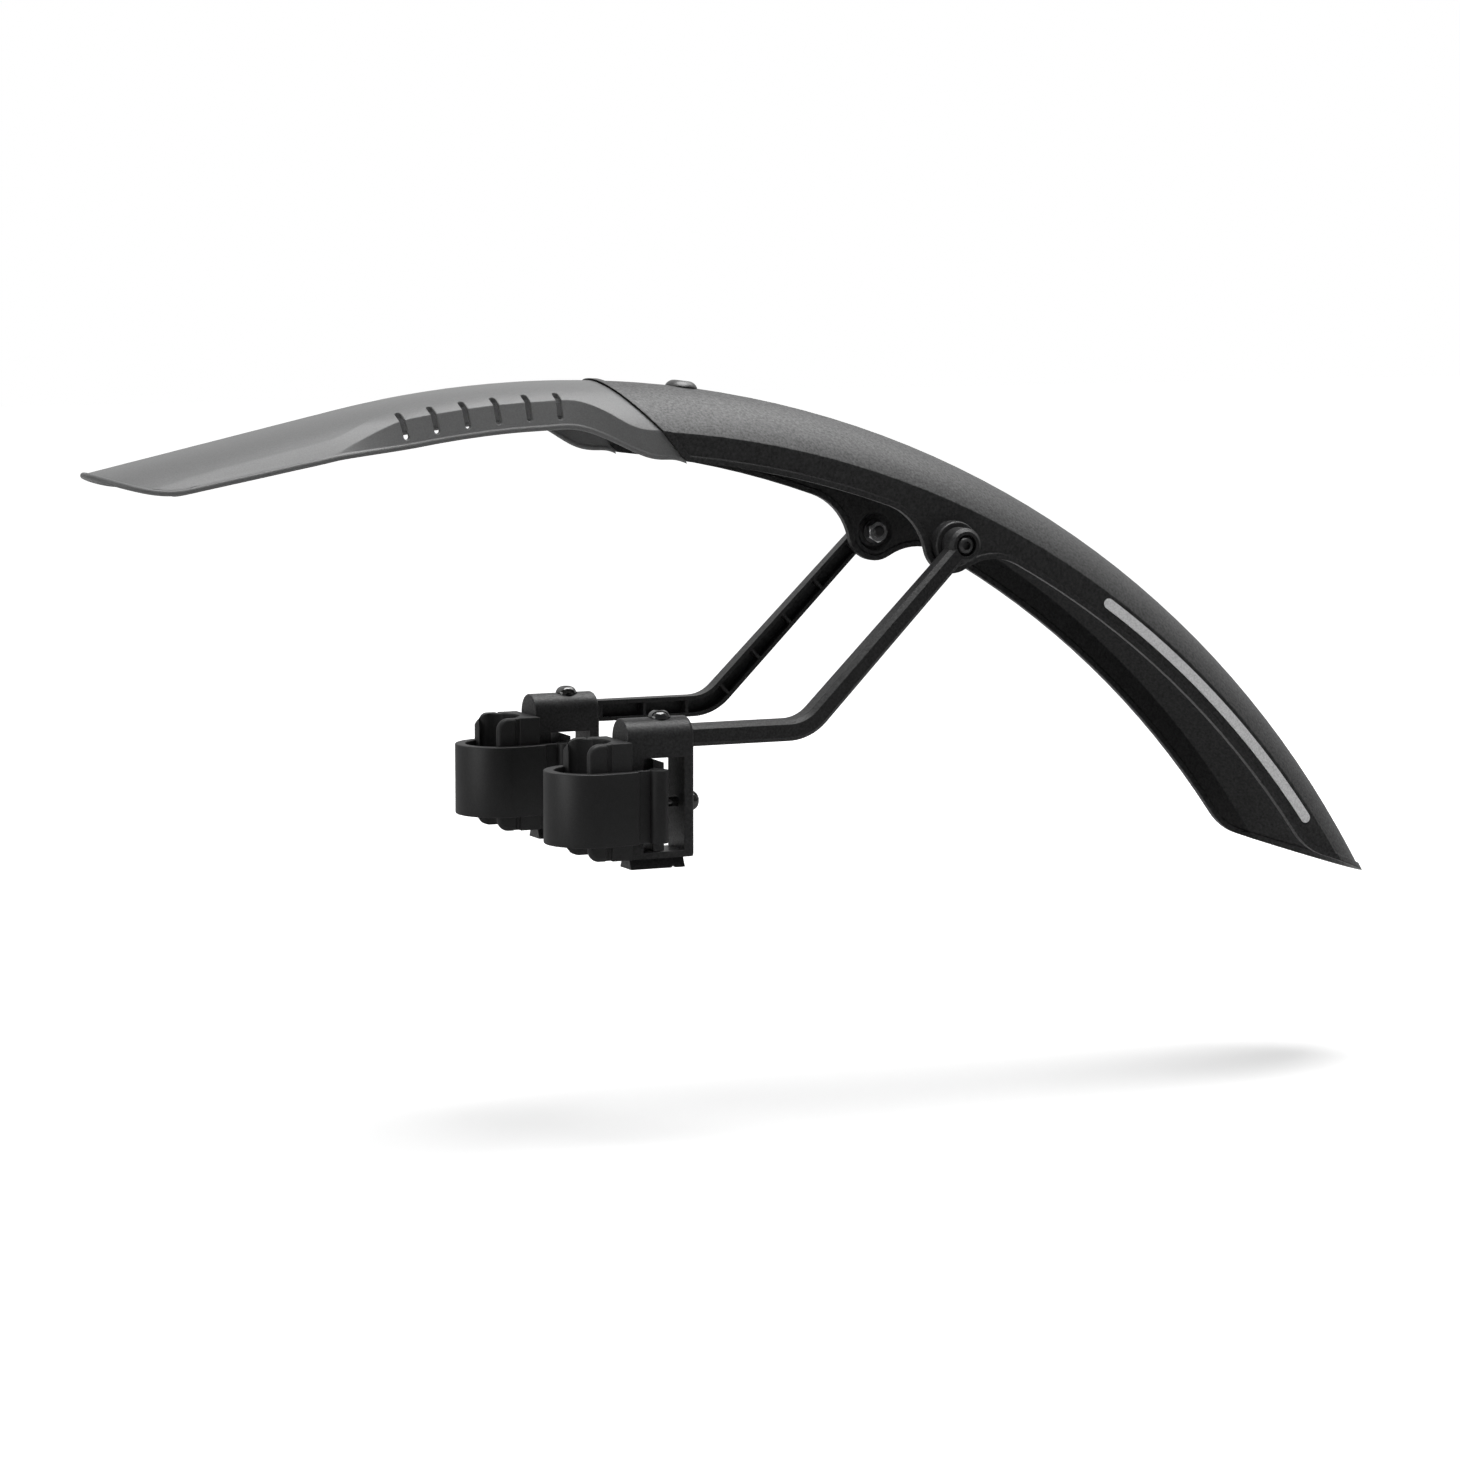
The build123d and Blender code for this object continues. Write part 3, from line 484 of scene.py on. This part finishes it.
def extrudeEnd(strap, x, middle, thick):
    # pulls the free end of the band on to x, with a new middle and thickness
    reach = max(v.co.x for v in strap.data.vertices)
    pickFaces(strap, lambda c, n: c.x > reach - 1e-5 and abs(n.x) > 0.7)
    bpy.ops.mesh.extrude_region_move()
    leaveEdit()
    ends = [v for v in strap.data.vertices if v.select]
    old = sum(v.co.y for v in ends) / len(ends)
    for v in ends:
        v.co.x = x * mm
        v.co.y = (middle + math.copysign(thick / 2, v.co.y - old)) * mm


def buildStrap():
    p = strapSize
    bandMid = p["inner"] + p["thick"] / 2
    deselectAll()
    bpy.ops.mesh.primitive_plane_add(size=1.0, location=(-bandMid * mm, 0, p["midZ"] * mm),
                                     rotation=(math.pi / 2, 0, 0))
    strap = bpy.context.object
    strap.name = "strap"
    strap.scale = (p["thick"] * mm, p["height"] * mm, 1.0)
    settle(strap)
    makeActive(strap)
    bpy.ops.object.mode_set(mode="EDIT")
    bpy.ops.mesh.select_all(action="SELECT")
    bpy.ops.mesh.spin(steps=p["turnSteps"], angle=math.pi / 2, center=(0, 0, 0), axis=(0, 0, 1))
    leaveEdit()
    shoulderMid = (bandMid + p["endMid"]) / 2 + p["shoulderOut"]
    extrudeEnd(strap, p["shoulderX"], shoulderMid, (p["thick"] + p["endThick"]) / 2)
    # the band ends in a rounded hem that turns in to a thin neck, which leads to the eye
    outside = p["endMid"] + p["endThick"] / 2
    inside = p["neckMid"] - p["neck"] / 2
    hemX = p["bandEnd"] - p["hem"]
    step = 0.05
    extrudeEnd(strap, hemX - step, p["endMid"], p["endThick"])
    extrudeEnd(strap, hemX + step, (inside + outside) / 2, outside - inside)
    for k in range(p["roundSteps"] + 1):
        turn = k / p["roundSteps"] * math.pi / 2
        top = outside - p["endRound"] * (1 - math.cos(turn))
        reach = p["bandEnd"] - p["endRound"] * (1 - math.sin(turn))
        extrudeEnd(strap, reach, (inside + top) / 2, top - inside)
    extrudeEnd(strap, p["bandEnd"] + step, p["neckMid"], p["neck"])
    extrudeEnd(strap, p["eyeX"] - p["neckSink"], p["neckMid"], p["neck"])
    pickFaces(strap, lambda c, n: abs(c.y) < 1e-5)
    bpy.ops.mesh.delete(type="FACE")
    leaveEdit()
    makeActive(strap)
    mod = strap.modifiers.new("halves", "MIRROR")
    mod.use_axis = (False, True, False)
    mod.merge_threshold = 0.00002
    bpy.ops.object.modifier_apply(modifier=mod.name)
    bpy.ops.object.mode_set(mode="EDIT")
    bpy.ops.mesh.select_all(action="SELECT")
    bpy.ops.mesh.normals_make_consistent(inside=False)
    leaveEdit()
    softenEdges(strap, p["softEdge"], 50, 3, False)
    for s in (1, -1):
        joinInto(strap, [buildEye(s)])
    return strap


def buildEye(s):
    # rolled end that grips the pin of the tension bar
    p = strapSize
    deselectAll()
    place = (p["eyeX"] * mm, s * p["eyeY"] * mm, p["midZ"] * mm)
    bpy.ops.mesh.primitive_cylinder_add(vertices=p["eyeSides"], radius=p["eyeRadius"] * mm,
                                        depth=p["height"] * mm, location=place)
    eye = bpy.context.object
    settle(eye)
    bpy.ops.mesh.primitive_cylinder_add(vertices=p["pinSides"], radius=p["pinRadius"] * mm,
                                        depth=cutLength * mm, location=place)
    pin = bpy.context.object
    settle(pin)
    cutWith(eye, pin)
    low, high = sorted((s * (p["eyeY"] - p["eyeRadius"] - 1), s * p["eyeY"]))
    front, rear = p["eyeX"] - p["slit"] / 2, p["eyeX"] + p["slit"] / 2
    cutWith(eye, cubeBetween("slit", (front, low, -cutLength / 2), (rear, high, cutLength / 2)))
    softenEdges(eye, p["softEdge"], 50)
    return eye


def placeSoft(source, name, side, node):
    # a copy with its own mesh, moved to one stay
    copy = source.copy()
    copy.data = source.data.copy()
    copy.name = name
    bpy.context.collection.objects.link(copy)
    copy.location = (0, sides[side] * stayY, 0)
    settle(copy)
    dress(copy, finishOf[node])
    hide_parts(node)
    return copy


padModel = buildPad()
strapModel = buildStrap()
for side in sides:
    pad = placeSoft(padModel, "rubberPad_" + side, side, "stay_pad_" + side)
    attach(pad, "clamp_" + side)
    strap = placeSoft(strapModel, "rubberStrap_" + side, side, "strap_" + side)
    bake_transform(strap)
bpy.data.objects.remove(padModel, do_unlink=True)
bpy.data.objects.remove(strapModel, do_unlink=True)
print("pads and straps ready")


# floor, lamps and camera

studio = {
    "floorX": 0.1, "floorDrop": 0.10, "floorSize": 14.0, "floorColour": (0.78, 0.78, 0.78),
    "floorMirrored": (0.36, 0.36, 0.36), "floorGlow": 0.45, "whiteFrom": 0.5, "whiteFull": 1.6,
    "floorShine": 0.3, "shineFrom": -0.1, "shineFull": 0.7, "skyLevel": 0.11, "frontShine": 0.05,
    "backFrom": -0.6, "backFull": 0.35, "backLow": 0.45, "backHigh": 0.9, "lowZ": 0.05, "highZ": 0.7}
lamps = {
    "topBox": {"place": (0.22, -0.15, 1.5), "aim": (0.1, 0.0, 0.1),
               "width": 1.15, "height": 1.15, "power": 27.5},
    "frontBox": {"place": (-1.6, -0.3, 0.25), "aim": (0.1, 0.0, 0.05),
                 "width": 1.0, "height": 0.8, "power": 6.2},
    "rearBox": {"place": (0.98, 0.45, 1.5), "aim": (0.15, 0.0, 0.1),
                "width": 1.1, "height": 1.1, "power": 9.5},
}
camera = {"target": (0.1015, 0.0, 0.0224), "away": (-0.4118, -0.9036, 0.1184), "distance": 2.35,
          "lens": 115.9, "sensor": 36.0}


def smoothRamp(tree, value, first, last, low=0.0, high=1.0):
    node = tree.nodes.new("ShaderNodeMapRange")
    node.interpolation_type = "SMOOTHSTEP"
    node.inputs["From Min"].default_value = first
    node.inputs["From Max"].default_value = last
    node.inputs["To Min"].default_value = low
    node.inputs["To Max"].default_value = high
    tree.links.new(value, node.inputs["Value"])
    return node.outputs[0]


def turnTo(way):
    # rotation that points a lamp or camera along a direction
    return (math.atan2(math.hypot(way[0], way[1]), -way[2]), 0.0, math.atan2(way[1], way[0]) - math.pi / 2)


def buildFloor():
    deselectAll()
    low = cadBox[0][2] - studio["floorDrop"]
    bpy.ops.mesh.primitive_plane_add(size=studio["floorSize"], location=(studio["floorX"], 0.0, low))
    floor = bpy.context.object
    floor.name = "studioFloor"
    settle(floor)
    paper = bpy.data.materials.new("floorPaper")
    paper.use_nodes = True
    tree = paper.node_tree
    tree.nodes.clear()
    out = tree.nodes.new("ShaderNodeOutputMaterial")
    matte = tree.nodes.new("ShaderNodeBsdfDiffuse")
    seen = tree.nodes.new("ShaderNodeLightPath")
    paperTone = mixColour(tree, seen.outputs["Is Glossy Ray"], studio["floorColour"], studio["floorMirrored"])
    tree.links.new(paperTone, matte.inputs["Color"])
    glow = tree.nodes.new("ShaderNodeEmission")
    # away from the object the paper is plain white to the camera
    coords = tree.nodes.new("ShaderNodeTexCoord")
    away = tree.nodes.new("ShaderNodeVectorMath")
    away.operation = "LENGTH"
    tree.links.new(coords.outputs["Object"], away.inputs[0])
    ring = smoothRamp(tree, away.outputs["Value"], studio["whiteFrom"], studio["whiteFull"],
                      studio["floorGlow"])
    # and shines on the object only from behind it
    split = tree.nodes.new("ShaderNodeSeparateXYZ")
    tree.links.new(coords.outputs["Object"], split.inputs[0])
    behind = smoothRamp(tree, split.outputs["Y"], studio["shineFrom"], studio["shineFull"])
    shine = mathNode(tree, "MULTIPLY", seen.outputs["Is Glossy Ray"], behind)
    shine = mathNode(tree, "MULTIPLY", shine, studio["floorShine"])
    direct = mathNode(tree, "ADD", seen.outputs["Is Camera Ray"], seen.outputs["Is Transmission Ray"], True)
    level = mathNode(tree, "MULTIPLY", mathNode(tree, "MAXIMUM", direct, shine), ring)
    tree.links.new(level, glow.inputs["Strength"])
    both = tree.nodes.new("ShaderNodeAddShader")
    tree.links.new(matte.outputs[0], both.inputs[0])
    tree.links.new(glow.outputs[0], both.inputs[1])
    tree.links.new(both.outputs[0], out.inputs["Surface"])
    floor.data.materials.append(paper)


def buildWorld():
    # white to the camera; shine is white from behind the object and dimmer from the viewer's side
    world = bpy.data.worlds.new("studioSky")
    bpy.context.scene.world = world
    world.use_nodes = True
    tree = world.node_tree
    back = tree.nodes["Background"]
    seen = tree.nodes.new("ShaderNodeLightPath")
    coords = tree.nodes.new("ShaderNodeTexCoord")
    split = tree.nodes.new("ShaderNodeSeparateXYZ")
    tree.links.new(coords.outputs["Generated"], split.inputs[0])
    behind = smoothRamp(tree, split.outputs["Y"], studio["backFrom"], studio["backFull"],
                        studio["frontShine"])
    lift = smoothRamp(tree, split.outputs["Z"], studio["lowZ"], studio["highZ"],
                      studio["backLow"], studio["backHigh"])
    direct = mathNode(tree, "ADD", seen.outputs["Is Camera Ray"], seen.outputs["Is Transmission Ray"], True)
    around = mathNode(tree, "MULTIPLY", behind, lift)
    shine = mathNode(tree, "MULTIPLY", seen.outputs["Is Glossy Ray"], around)
    level = mathNode(tree, "MAXIMUM", mathNode(tree, "MAXIMUM", direct, shine), studio["skyLevel"])
    tree.links.new(level, back.inputs["Strength"])
    back.inputs["Color"].default_value = (1.0, 1.0, 1.0, 1.0)


def addLamp(name, look):
    deselectAll()
    bpy.ops.object.light_add(type="AREA", location=look["place"])
    lamp = bpy.context.object
    lamp.name = name
    lamp.data.shape = "RECTANGLE"
    lamp.data.size = look["width"]
    lamp.data.size_y = look["height"]
    lamp.data.energy = look["power"]
    lamp.rotation_euler = turnTo([look["aim"][k] - look["place"][k] for k in range(3)])


def buildCamera():
    deselectAll()
    place = [camera["target"][k] + camera["distance"] * camera["away"][k] for k in range(3)]
    bpy.ops.object.camera_add(location=place)
    eye = bpy.context.object
    eye.name = "photoCamera"
    eye.rotation_euler = turnTo([-k for k in camera["away"]])
    eye.data.sensor_fit = "HORIZONTAL"
    eye.data.sensor_width = camera["sensor"]
    eye.data.lens = camera["lens"]
    bpy.context.scene.camera = eye


buildFloor()
buildWorld()
for name, look in lamps.items():
    addLamp(name, look)
buildCamera()
bpy.context.scene.view_settings.view_transform = "Standard"
print("studio ready")
